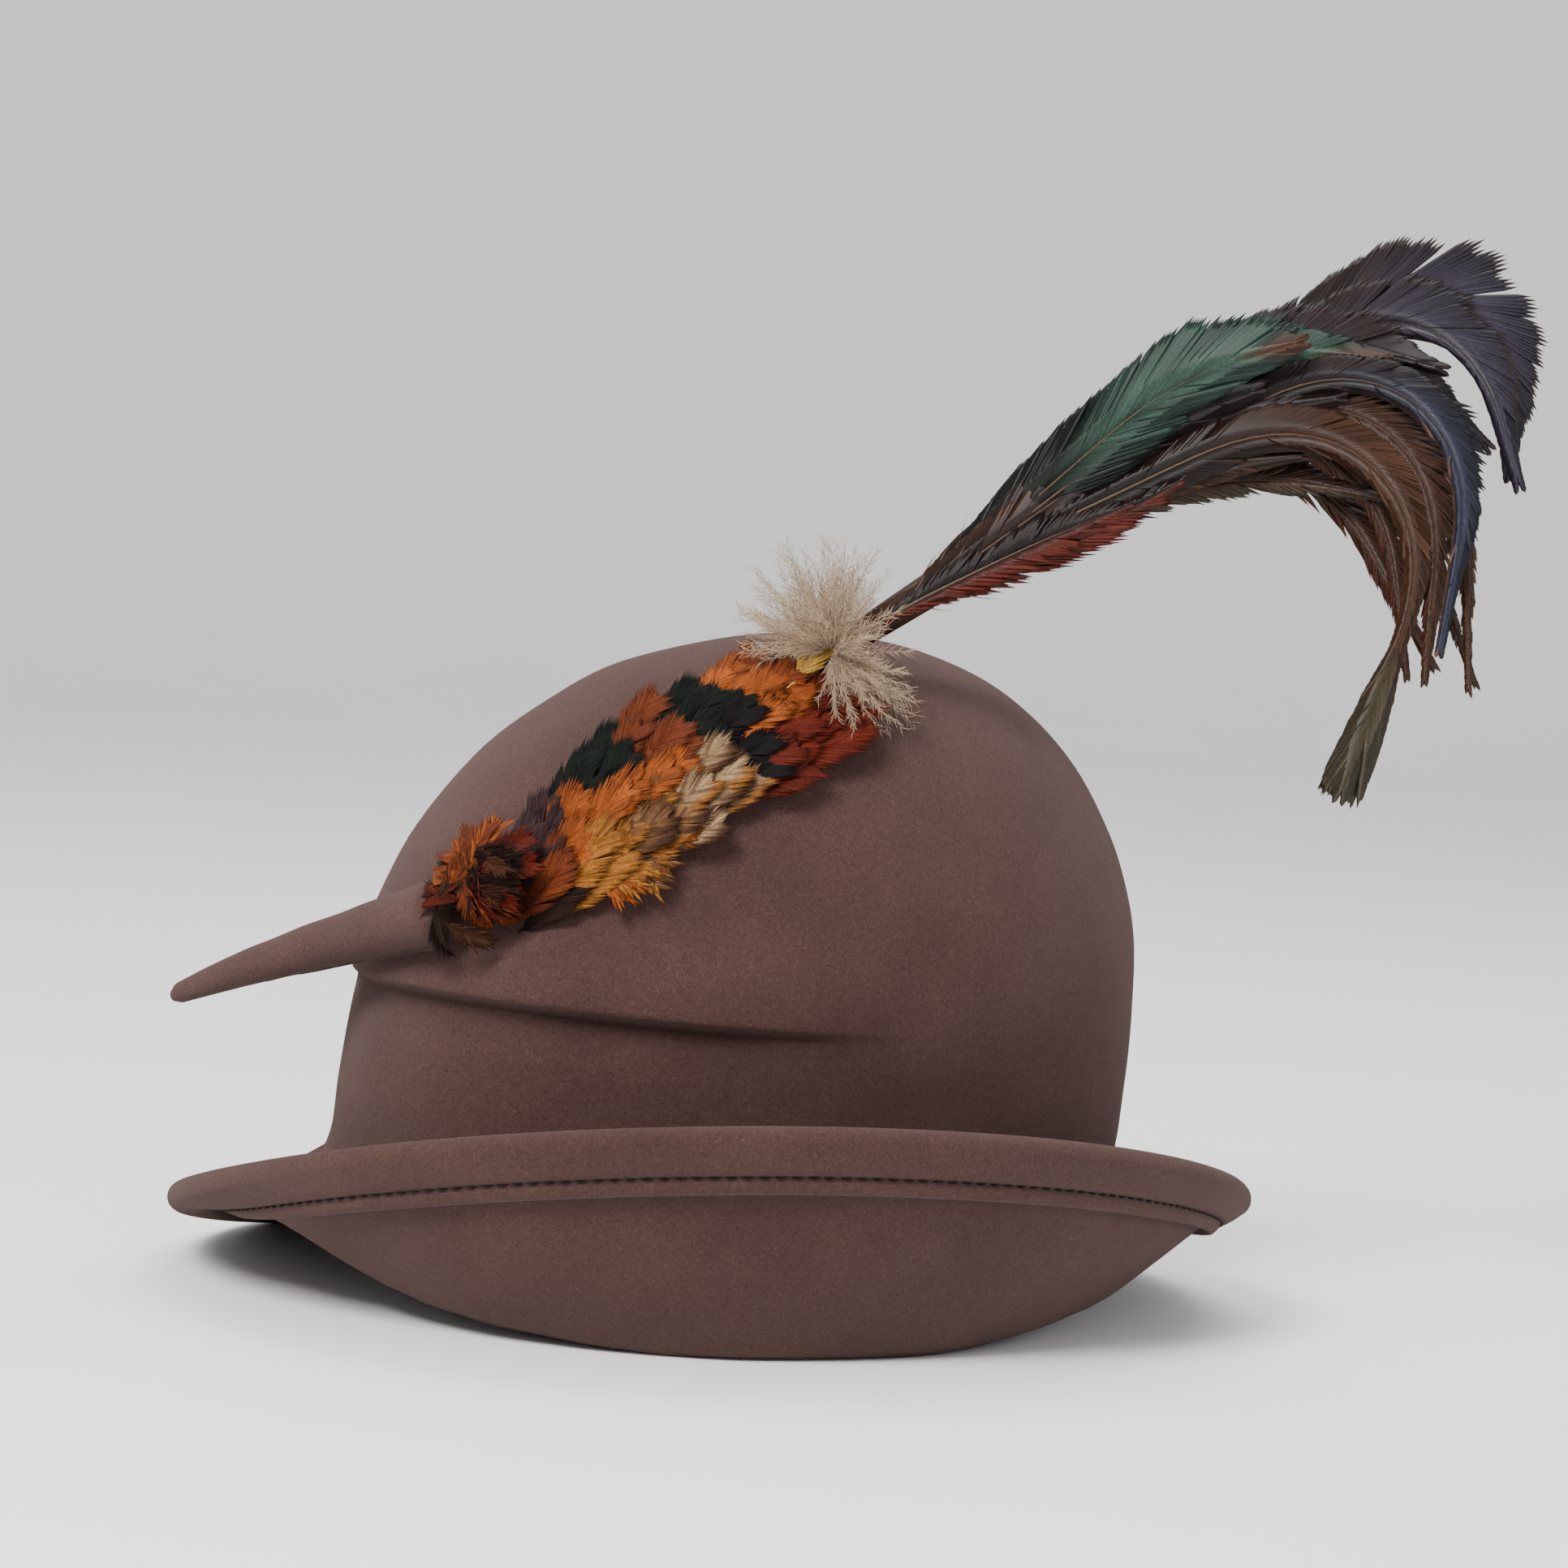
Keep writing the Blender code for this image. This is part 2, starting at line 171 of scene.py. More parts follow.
def crown_frame(turn, share):
    """Point on the outside of the crown, the ways round and up, and the outward direction."""
    step, climb = 0.02, 0.01
    side = wall_point(turn + step, share) - wall_point(turn - step, share)
    rise = wall_point(turn, share + climb) - wall_point(turn, share - climb)
    normal = side.cross(rise).normalized()
    spot = wall_point(turn, share) + normal * (FELT / 2)
    return spot, side / (2 * step), rise / (2 * climb), normal


def raw_pad_frame(share):
    run = spline([Vector((math.radians(t), s, 0.0)) for t, s in PAD_RUN], 12)
    place = clamp(share) * (len(run) - 1.001)
    step = run[int(place) + 1] - run[int(place)]
    at = run[int(place)] + step * (place - int(place))
    spot, side, rise, normal = crown_frame(at.x, at.y)
    return spot, (side * step.x + rise * step.y).normalized(), normal


PAD_STEPS = 40
pad_table = [raw_pad_frame(k / PAD_STEPS) for k in range(PAD_STEPS + 1)]
PAD_LENGTH = lengths([row[0] for row in pad_table])[-1]


def pad_frame(share):
    """Frame on the crown along the run of the pad; past its ends the run goes straight on."""
    place = clamp(share, 0.0, 0.9999) * PAD_STEPS
    k = int(place)
    a, b = pad_table[k], pad_table[k + 1]
    t = place - k
    way, normal = a[1].lerp(b[1], t).normalized(), a[2].lerp(b[2], t).normalized()
    return a[0].lerp(b[0], t) + way * ((share - clamp(share)) * PAD_LENGTH), way, normal


def sweep(heading, lean=0.0):
    a, b = math.radians(heading), math.radians(lean)
    return (ALONG * math.cos(a) + UP * math.sin(a)) * math.cos(b) + OUT * math.sin(b)


def stem_ends():
    spot, side, rise, normal = crown_frame(ROOT_TURN, ROOT_SHARE)
    tip = edge_point(TIP_TURN) + UP * TIP_RISE
    return tip, spot + normal * (STEM_R_ROOT + GAP + ROOT_LIFT)


def down_heart():
    spot, way, normal = pad_frame(0.99999)
    return spot + normal * (PAD_LIFT + PAD_THICK + DOWN_R) + way * (DOWN_R + GAP)


HEART = down_heart()
PLUME_ROOT = HEART + sweep(PLUME_HEADING) * (DOWN_R + QUILLS_R)


# Building helpers
class Bundle:
    """Vertices, faces and a colour for each vertex, gathered into one piece."""

    def __init__(self):
        self.spots, self.faces, self.tints = [], [], []

    def strip(self, line, half, height, face, tints):
        """Closed three-sided blade along a line: flat below, ridged above, drawn to a point."""
        start = len(self.spots)
        last = len(line) - 1
        for k in range(last):
            ahead = line[k + 1] - line[max(k - 1, 0)]
            side = ahead.cross(face)
            side.normalize()
            self.spots += [line[k] - side * half[k], line[k] + side * half[k], line[k] + face * height[k]]
            self.tints += [tints[k]] * 3
        self.spots.append(line[last])
        self.tints.append(tints[last])
        for k in range(last - 1):
            a = start + 3 * k
            for i in range(3):
                j = (i + 1) % 3
                self.faces.append((a + i, a + j, a + 3 + j, a + 3 + i))
        a, tip = start + 3 * (last - 1), start + 3 * last
        self.faces += [(a, a + 1, tip), (a + 1, a + 2, tip), (a + 2, a, tip), (start + 2, start + 1, start)]

    def tube(self, line, wide, sides, tint, face):
        """Closed round tube along a line; `face` says which way its cross section is turned."""
        start = len(self.spots)
        for k, spot in enumerate(line):
            ahead = line[min(k + 1, len(line) - 1)] - line[max(k - 1, 0)]
            side = ahead.cross(face).normalized()
            over = side.cross(ahead).normalized()
            for s in range(sides):
                a = TAU * s / sides
                self.spots.append(spot + side * (wide[k] * math.cos(a)) + over * (wide[k] * math.sin(a)))
                self.tints.append(tint)
        for k in range(len(line) - 1):
            for s in range(sides):
                a, b = start + k * sides + s, start + k * sides + (s + 1) % sides
                self.faces.append((a, b, b + sides, a + sides))
        end = start + (len(line) - 1) * sides
        self.faces.append(tuple(range(start + sides - 1, start - 1, -1)))
        self.faces.append(tuple(range(end, end + sides)))

    def piece(self, name, material):
        """Mesh of what was gathered, with its colours as the attribute tint."""
        mesh = bpy.data.meshes.new(name)
        mesh.from_pydata([p + HOME for p in self.spots], [], self.faces)
        paint = mesh.attributes.new("tint", "FLOAT_COLOR", "POINT")
        paint.data.foreach_set("color", [c for t in self.tints for c in (*t, 1.0)])
        mesh.polygons.foreach_set("use_smooth", [True] * len(mesh.polygons))
        thing = bpy.data.objects.new(name, mesh)
        bpy.context.scene.collection.objects.link(thing)
        mesh.materials.append(material)
        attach(thing, "root")
        return thing


# Materials
def new_material(name, roughness, sheen=0.0, sheen_tint=(1, 1, 1), coat=0.0):
    paint = bpy.data.materials.new(name)
    paint.use_nodes = True
    shader = paint.node_tree.nodes["Principled BSDF"]
    shader.inputs["Roughness"].default_value = roughness
    shader.inputs["Sheen Weight"].default_value = sheen
    shader.inputs["Sheen Roughness"].default_value = 0.45
    shader.inputs["Sheen Tint"].default_value = (*sheen_tint, 1.0)
    shader.inputs["Coat Weight"].default_value = coat
    return paint, paint.node_tree, shader


def add(tree, kind, **values):
    node = tree.nodes.new(kind)
    for key, value in values.items():
        if hasattr(node, key):
            setattr(node, key, value)
        else:
            node.inputs[key.replace("_", " ")].default_value = value
    return node


def ramp(tree, source, stops):
    node = tree.nodes.new("ShaderNodeValToRGB")
    while len(node.color_ramp.elements) < len(stops):
        node.color_ramp.elements.new(0.5)
    for element, (place, colour) in zip(node.color_ramp.elements, stops):
        element.position = place
        element.color = (*colour, 1.0)
    tree.links.new(source, node.inputs[0])
    return node


def multiply(tree, a, b):
    """One colour times another, by the colour sockets of the Mix node."""
    node = add(tree, "ShaderNodeMix", data_type="RGBA", blend_type="MULTIPLY")
    node.inputs["Factor"].default_value = 1.0
    tree.links.new(a, node.inputs[6])
    tree.links.new(b, node.inputs[7])
    return node.outputs[2]


def felt_material():
    """Short matted wool: fine pale and dark fibres, soft cloudy shade, a nap that stands in relief."""
    paint, tree, shader = new_material("wool_felt", 0.95, 0.12, (0.80, 0.60, 0.55))
    shader.inputs["Specular IOR Level"].default_value = 0.12
    link = tree.links.new
    place = add(tree, "ShaderNodeTexCoord")
    cloud = add(tree, "ShaderNodeTexNoise", Scale=38.0, Detail=3.0, Roughness=0.55)
    fibre = add(tree, "ShaderNodeTexNoise", Scale=1500.0, Detail=4.0, Roughness=0.75, Distortion=1.5)
    speck = add(tree, "ShaderNodeTexNoise", Scale=3300.0, Detail=2.0, Roughness=0.8, Distortion=2.0)
    for node in (cloud, fibre, speck):
        link(place.outputs["Object"], node.inputs["Vector"])
    stops = (0.28, (0.029, 0.0135, 0.0118)), (0.50, (0.052, 0.0262, 0.0228)), (0.72, (0.088, 0.050, 0.0445))
    base = ramp(tree, fibre.outputs["Fac"], stops)
    tone = ramp(tree, cloud.outputs["Fac"], ((0.30, (0.86, 0.85, 0.85)), (0.72, (1.10, 1.08, 1.07))))
    fleck = ramp(tree, speck.outputs["Fac"], ((0.60, (1.0, 1.0, 1.0)), (0.78, (1.45, 1.40, 1.38))))
    # The tint attribute holds the thread colour of the stitches and painted shade on the felt: in the fold
    # crease, the stitch groove, under the hem's cut edge and in the stem's roll
    crease = add(tree, "ShaderNodeAttribute", attribute_name="tint")
    cloudy = multiply(tree, base.outputs[0], tone.outputs[0])
    flecked = multiply(tree, cloudy, fleck.outputs[0])
    felt_with_painted_shade = multiply(tree, flecked, crease.outputs["Color"])
    link(felt_with_painted_shade, shader.inputs["Base Color"])
    relief = add(tree, "ShaderNodeMath", operation="MULTIPLY_ADD")
    relief.inputs[1].default_value = 0.5
    link(speck.outputs["Fac"], relief.inputs[0])
    link(fibre.outputs["Fac"], relief.inputs[2])
    bump = add(tree, "ShaderNodeBump", Strength=0.8, Distance=0.00035)
    link(relief.outputs[0], bump.inputs["Height"])
    link(bump.outputs[0], shader.inputs["Normal"])
    return paint


def feather_material(name, roughness, sheen, streak, coat, gloss):
    """Barb colour comes from the mesh, and fine streaks break it up."""
    paint, tree, shader = new_material(name, roughness, sheen, (0.9, 0.85, 0.8), coat)
    link = tree.links.new
    shader.inputs["Specular IOR Level"].default_value = gloss
    own = add(tree, "ShaderNodeAttribute", attribute_name="tint")
    place = add(tree, "ShaderNodeTexCoord")
    fine = add(tree, "ShaderNodeTexNoise", Scale=1500.0, Detail=3.0, Roughness=0.65)
    link(place.outputs["Object"], fine.inputs["Vector"])
    tone = ramp(tree, fine.outputs["Fac"], ((0.3, (1 - streak,) * 3), (0.7, (1 + streak,) * 3)))
    barbs = multiply(tree, own.outputs["Color"], tone.outputs[0])
    link(barbs, shader.inputs["Base Color"])
    bump = add(tree, "ShaderNodeBump", Strength=0.3, Distance=0.0002)
    link(fine.outputs["Fac"], bump.inputs["Height"])
    link(bump.outputs[0], shader.inputs["Normal"])
    return paint


def stage_material():
    paint, tree, shader = new_material("pale_floor", 0.75)
    place = add(tree, "ShaderNodeTexCoord")
    grain = add(tree, "ShaderNodeTexNoise", Scale=6.0, Detail=2.0)
    tree.links.new(place.outputs["Object"], grain.inputs["Vector"])
    tone = ramp(tree, grain.outputs["Fac"], ((0.3, (0.90, 0.895, 0.89)), (0.7, (0.92, 0.915, 0.91))))
    tree.links.new(tone.outputs[0], shader.inputs["Base Color"])
    return paint


# Felt body: rows over the hem, the brim, the wall and the dome, close together round the fold
TURNS = 240
HEM_ROWS = (HEM_ROLL, 0.0045, 0.0060, 0.0075, 0.0088, 0.0097, 0.0103, STITCH_AT,
            0.0109, 0.0115, 0.0125, 0.0138, HEM - 0.0003, HEM + 0.0001)
BRIM_COUNT, WALL_COUNT, DOME_COUNT = 22, 15, 40
FOLD_STEPS = (0.90, 0.95, 0.975, 0.99)
LIP_STEPS = (0.004, 0.009, 0.016, 0.026, 0.038)
STITCH_ROW = HEM_ROWS.index(STITCH_AT)
PAST_HEM = 0.0008
REST_Z = 0.46 * FELT
HEM_BACK, HEM_HEART = FELT * 1.62, FELT * 0.62
HEM_PUFF, SEAM_DENT, SEAM_PAINTED_SHADE = 0.00055, 0.00060, 0.45
LIP_START, LIP_SWELL, CREASE = 0.0004, 1.15, 0.0007
FOLD_BOW, FOLD_BOW_TURN = 0.0026, math.radians(-8.0)


def fold_height(turn):
    """The fold rises a little over the middle of the front and sinks towards its ends."""
    return FOLD_Z + FOLD_BOW * math.cos(1.3 * (turn - FOLD_BOW_TURN))


def middle_rows(turn):
    """Rows of the middle line: points, distance from the edge, and distance above the fold."""
    line, wall = section(turn)
    done = lengths(line)
    wants = list(HEM_ROWS)
    brim = done[wall] - HEM
    wants += [HEM + PAST_HEM + (brim - PAST_HEM) * (k / BRIM_COUNT) for k in range(1, BRIM_COUNT + 1)]
    fold = wall
    signed = (turn + math.pi) % TAU - math.pi
    while line[fold].z < fold_height(signed):
        fold += 1
    part = (fold_height(signed) - line[fold - 1].z) / max(line[fold].z - line[fold - 1].z, 1e-6)
    ridge = done[fold - 1] + (done[fold] - done[fold - 1]) * clamp(part)
    wants += [done[wall] + (ridge - done[wall]) * 0.90 * k / WALL_COUNT for k in range(1, WALL_COUNT)]
    wants += [done[wall] + (ridge - done[wall]) * s for s in FOLD_STEPS]
    dome = done[-1] - ridge
    wants += [ridge + dome * s for s in LIP_STEPS]
    rest = 1.0 - LIP_STEPS[-1]
    wants += [ridge + dome * (LIP_STEPS[-1] + rest * (k / DOME_COUNT) ** 0.93) for k in range(1, DOME_COUNT)]
    spots = []
    for want in wants:
        p = at_distance(line, done, want)
        spots.append(Vector((p.x, p.y, max(p.z, REST_Z))))
    return spots, wants, [w - ridge for w in wants]


def fold_reach(turn, above):
    """How far the soft fold stands out of the wall, and how deep the crease under it is."""
    away = abs((turn - FOLD_TURN + math.pi) % TAU - math.pi)
    strength = ease((FOLD_SPAN - away) / (0.6 * FOLD_SPAN))
    if above < -LIP_START:
        return -strength * CREASE * ease((above + 0.008) / 0.0065)
    swell = ease((above + LIP_START) / 0.0016)
    return strength * FOLD_OUT * LIP_SWELL * swell * (1 - ease((above - 0.002) / 0.024))


def soft(p):
    """Slow unevenness of hand-blocked felt."""
    return 0.00075 * noise.noise(p * 26.0) + 0.00035 * noise.noise(p * 61.0 + Vector((3, 1, 7)))


def seam(run, half):
    """How near a place on the hem is to the stitch line: 1 on it, 0 well away from it."""
    return math.exp(-((run - STITCH_AT) / half) ** 2)


def build_felt(material):
    """Outer and inner face of the felt with the turned hem between them, as one closed skin."""
    rows = [middle_rows(TAU * k / TURNS) for k in range(TURNS)]
    count, hem_count = len(rows[0][0]), len(HEM_ROWS)
    apex = section(0.0)[0][-1]
    bundle = Bundle()
    stitches = []
    for j in range(TURNS):
        turn = TAU * j / TURNS
        spots, run, above = rows[j]
        before, after = rows[j - 1][0], rows[(j + 1) % TURNS][0]
        outer, inner = [], []
        for i in range(count):
            rise = (spots[i + 1] if i < count - 1 else apex) - spots[max(i - 1, 0)]
            normal = (after[i] - before[i]).cross(rise).normalized()
            wave = soft(spots[i]) * ease((run[i] - 0.004) / 0.03)
            puff, dent = 0.0, 0.0
            if run[i] < HEM:
                puff = HEM_PUFF * math.sin(math.pi * clamp(run[i] / STITCH_AT))
                dent = SEAM_DENT * seam(run[i], 0.0009)
            reach = fold_reach(turn, above[i])
            # Painted shade darkens the felt along the stitch groove
            shade = 1.0 - SEAM_PAINTED_SHADE * seam(run[i], 0.0006)
            # Painted shade: the felt in the crease under the fold is darkened
            if reach < 0:
                shade = 1.0 + 500 * reach
            lift = FELT / 2 + puff - dent + max(reach, -0.0006) + wave
            outer.append((spots[i] + normal * lift, shade))
            inner.append((spots[i], normal, puff, dent, wave))
        ring = list(reversed(outer))
        # The rolled edge, from the outer face round to the turned layer
        rim, normal = spots[0], inner[0][1]
        away = (rim - spots[1]).normalized()
        heart = rim - normal * HEM_HEART
        for k in range(1, 12):
            a = math.pi * k / 12
            spot = heart + normal * (HEM_ROLL * 1.02 * math.cos(a))
            ring.append((spot + away * (HEM_ROLL * math.sin(a)), 1.0))
        # The turned layer, down to its cut edge
        for i in range(hem_count):
            spot, face, puff, dent, wave = inner[i]
            drop = HEM_BACK + puff - dent
            # Painted shade along the stitch groove on the turned layer
            shade = 1.0 - SEAM_PAINTED_SHADE * seam(run[i], 0.0006)
            if i == hem_count - 2:
                drop -= 0.0005
            # The cut edge steps down to the brim, with a painted shadow in the step
            if i == hem_count - 1:
                drop = FELT * 0.52
                shade = 0.35
            ring.append((spot - face * drop + face * wave, shade))
            if i == STITCH_ROW:
                stitches.append((spot, face))
        for i in range(hem_count, count):
            spot, face, puff, dent, wave = inner[i]
            # Painted shadow on the brim's underside just past the hem's cut edge
            shade = 1.0 - 0.4 * math.exp(-((run[i] - HEM) / 0.001) ** 2)
            ring.append((spot - face * (FELT / 2 - wave), shade))
        for p, shade in ring:
            bundle.spots.append(Vector((p.x, p.y, max(p.z, 0.00005))))
            bundle.tints.append((shade,) * 3)
    loop_length = len(ring)
    for j in range(TURNS):
        a, b = j * loop_length, ((j + 1) % TURNS) * loop_length
        for i in range(loop_length - 1):
            bundle.faces.append((a + i, a + i + 1, b + i + 1, b + i))
    top_at, under_at = len(bundle.spots), len(bundle.spots) + 1
    lift = soft(apex)
    bundle.spots += [apex + UP * (FELT / 2 + lift), apex - UP * (FELT / 2 - lift)]
    bundle.tints += [(1.0,) * 3] * 2
    for j in range(TURNS):
        a, b = j * loop_length, ((j + 1) % TURNS) * loop_length
        bundle.faces.append((top_at, a, b))
        bundle.faces.append((under_at, b + loop_length - 1, a + loop_length - 1))
    thing = bundle.piece("blocked_felt", material)
    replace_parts(thing, "felt_body")
    return stitches


STITCH_LENGTH, STITCH_RISE = 0.0034, 0.0005
THREAD = (0.00010, 0.00024, 0.00027, 0.00024, 0.00010)
THREAD_COLOUR = (0.035, 0.014, 0.013)


def build_stitches(material, stitches):
    """Row of machine stitches through the turned hem, seen on both faces of the brim."""
    bundle = Bundle()
    done = lengths([row[0] for row in stitches] + [stitches[0][0]])
    count = int(done[-1] / STITCH_LENGTH)
    sink = 0.0002
    outside, inside = FELT / 2 - 0.0004 - sink, HEM_BACK - 0.0005 - sink
    for k in range(count):
        for side, depth in ((1, outside), (-1, inside)):
            spots = []
            for part in (0.10, 0.30, 0.50, 0.70, 0.90):
                want = done[-1] * (k + part) / count
                i = next((n for n in range(TURNS) if done[n + 1] > want), TURNS - 1)
                t = (want - done[i]) / (done[i + 1] - done[i])
                a, b = stitches[i], stitches[(i + 1) % TURNS]
                face = a[1].lerp(b[1], t).normalized()
                arch = math.sin(math.pi * (part - 0.1) / 0.8)
                spots.append(a[0].lerp(b[0], t) + face * (side * (depth + STITCH_RISE * arch)))
            if min(p.z for p in spots) >= 0.0006:
                bundle.tube(spots, THREAD, 6, THREAD_COLOUR, stitches[0][1])
    bundle.piece("hem_stitches", material)


STEM_ROWS, STEM_SIDES, TIP_RINGS = 70, 56, 9
LAP = 0.055
TIP_SHARE = 0.80


def build_stem(material):
    """Cone of felt rolled up tight: the free edge runs along it and the blunt tip shows the roll."""
    tip, root = stem_ends()
    way = (root - tip).normalized()
    side = way.cross(UP).normalized()
    over = side.cross(way).normalized()
    bundle = Bundle()
    length = (root - tip).length
    for k in range(STEM_ROWS + 1):
        s = (k / STEM_ROWS) ** 1.15
        radius = STEM_R_TIP + (STEM_R_ROOT - STEM_R_TIP) * s ** 0.9
        radius *= 1.0 + 0.03 * noise.noise(Vector((s * 9, 1, 2)))
        radius *= TIP_SHARE + 0.20 * ease(s / 0.012)
        radius *= math.sqrt(max(1.0 - clamp((s - 0.955) / 0.047) ** 2, 0.02))
        bow = over * (0.0012 * math.sin(math.pi * s)) + side * (0.0008 * math.sin(2.2 * math.pi * s))
        for i in range(STEM_SIDES):
            a = TAU * i / STEM_SIDES
            # A step where the free edge of the roll lies on the layer below
            lap = ((a - 4.1 - 0.9 * s) % TAU) / TAU
            step = 0.55 * FELT * (0.25 + 0.75 * s) * (1.0 - ease(lap / LAP)) if lap < LAP else 0.0
            r = radius * (1.0 - 0.05 * (1.0 - lap)) - 0.28 * step
            # Painted shade along the step at the roll's free edge
            dark = 0.62 if lap < 0.02 or lap > 0.985 else 1.0
            spot = tip + way * (length * s) + bow
            bundle.spots.append(spot + side * (r * math.cos(a)) + over * (r * math.sin(a)))
            bundle.tints.append((dark,) * 3)
    for k in range(STEM_ROWS):
        for i in range(STEM_SIDES):
            a, b = k * STEM_SIDES + i, k * STEM_SIDES + (i + 1) % STEM_SIDES
            bundle.faces.append((a, b, b + STEM_SIDES, a + STEM_SIDES))
    # Tip: a spiral groove turned into the end of the roll, with painted shade in the groove
    previous = list(range(STEM_SIDES))
    for ring in range(1, TIP_RINGS):
        share = 1.0 - ring / TIP_RINGS
        here = []
        for i in range(STEM_SIDES):
            a = TAU * i / STEM_SIDES
            r = STEM_R_TIP * TIP_SHARE * share
            groove = math.cos(TAU * (share * 2.1 - i / STEM_SIDES))
            depth = 0.0005 * groove - 0.0004 * (1 - share)
            here.append(len(bundle.spots))
            spot = tip - way * (0.0005 + depth)
            bundle.spots.append(spot + side * (r * math.cos(a)) + over * (r * math.sin(a)))
            # Painted shade: darker down in the groove, full tone on its ridge
            bundle.tints.append((0.55 + 0.45 * clamp(0.5 + groove),) * 3)
        for i in range(STEM_SIDES):
            j = (i + 1) % STEM_SIDES
            bundle.faces.append((previous[j], previous[i], here[i], here[j]))
        previous = here
    bundle.faces.append(tuple(reversed(previous)))
    bundle.faces.append(tuple(range(STEM_ROWS * STEM_SIDES, (STEM_ROWS + 1) * STEM_SIDES)))
    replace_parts(bundle.piece("rolled_stem", material), "felt_stem")


# Feather colours, as linear red, green and blue
BLACK, DEEP, BROWN = (0.0030, 0.0022, 0.0022), (0.012, 0.005, 0.0034), (0.036, 0.0135, 0.0060)
RUST, RED_RUST, ORANGE = (0.098, 0.021, 0.006), (0.070, 0.0085, 0.0035), (0.190, 0.043, 0.007)
OCHRE, TAN, CREAM = (0.190, 0.070, 0.012), (0.115, 0.052, 0.022), (0.21, 0.132, 0.070)
PLUM, GREEN_BLACK, TEAL = (0.026, 0.012, 0.013), (0.003, 0.005, 0.003), (0.022, 0.050, 0.036)
VIOLET, BLUE, OLIVE = (0.026, 0.020, 0.034), (0.011, 0.012, 0.024), (0.033, 0.026, 0.015)
YELLOW, SHAFT, DOWN_CREAM = (0.38, 0.215, 0.040), (0.050, 0.027, 0.014), (0.44, 0.31, 0.195)


def scaled(colour, factor):
    return tuple(c * factor for c in colour)


def feather(bundle, line, half, face, tone, rng, spacing, angle, camber, fray, shaft, shaft_tint=SHAFT):
    """Shaft with barbs on both sides, which cling in clumps and part between them."""
    done = lengths(line)
    total = done[-1]
    last = len(line) - 1
    quill = [max(shaft * (1 - 0.88 * k / last), 0.00007) for k in range(last + 1)]
    bundle.tube(line, quill, 5, shaft_tint, face)
    count = int(total / spacing)
    reading, wide = 0.0025, 0.60 * spacing
    tight = fray < 0.2
    places = (0.0, 0.40, 0.86, 1.0) if tight else (0.0, 0.36, 0.70, 1.0)
    flare = 1.35 if tight else 1.0
    for side in (-1, 1):
        left, turn, lift = 0, 0.0, 0.0
        for k in range(2, count):
            if left == 0:
                left = rng.randint(4, 15)
                turn = rng.uniform(-0.10, 0.10) * (1.0 + 2.5 * fray)
                lift = rng.uniform(-0.06, 0.07)
            left -= 1
            s = k / count
            width = half(s)
            if width < 0.00025:
                continue
            root = at_distance(line, done, s * total)
            beyond = at_distance(line, done, min(s * total + reading, total))
            ahead = (beyond - at_distance(line, done, max(s * total - reading, 0.0))).normalized()
            across = ahead.cross(face).normalized() * side
            over = across.cross(ahead).normalized() * side
            open_by = math.radians(angle + (14.0 - angle) * ease((s - 0.55) / 0.45)) * (1.0 + turn)
            reach = width / max(math.sin(open_by), 0.28) * (1.0 + fray * (rng.random() - 0.6))
            reach = min(reach, total * (1.0 - s) * 0.9 + 0.0035)
            shade = rng.uniform(0.66, 1.26)
            spots, tints = [], []
            for u in places:
                out = across * (u * math.sin(open_by)) + ahead * (u * math.cos(open_by) + 0.16 * u * u)
                spots.append(root + out * reach + over * (reach * u * u * (lift - camber)))
                tints.append(scaled(tone(s, u, side), shade))
            widths = (wide, wide * flare, 0.95 * wide * flare)
            bundle.strip(spots, widths, (0.35 * wide, 0.35 * wide, 0.25 * wide), over, tints)


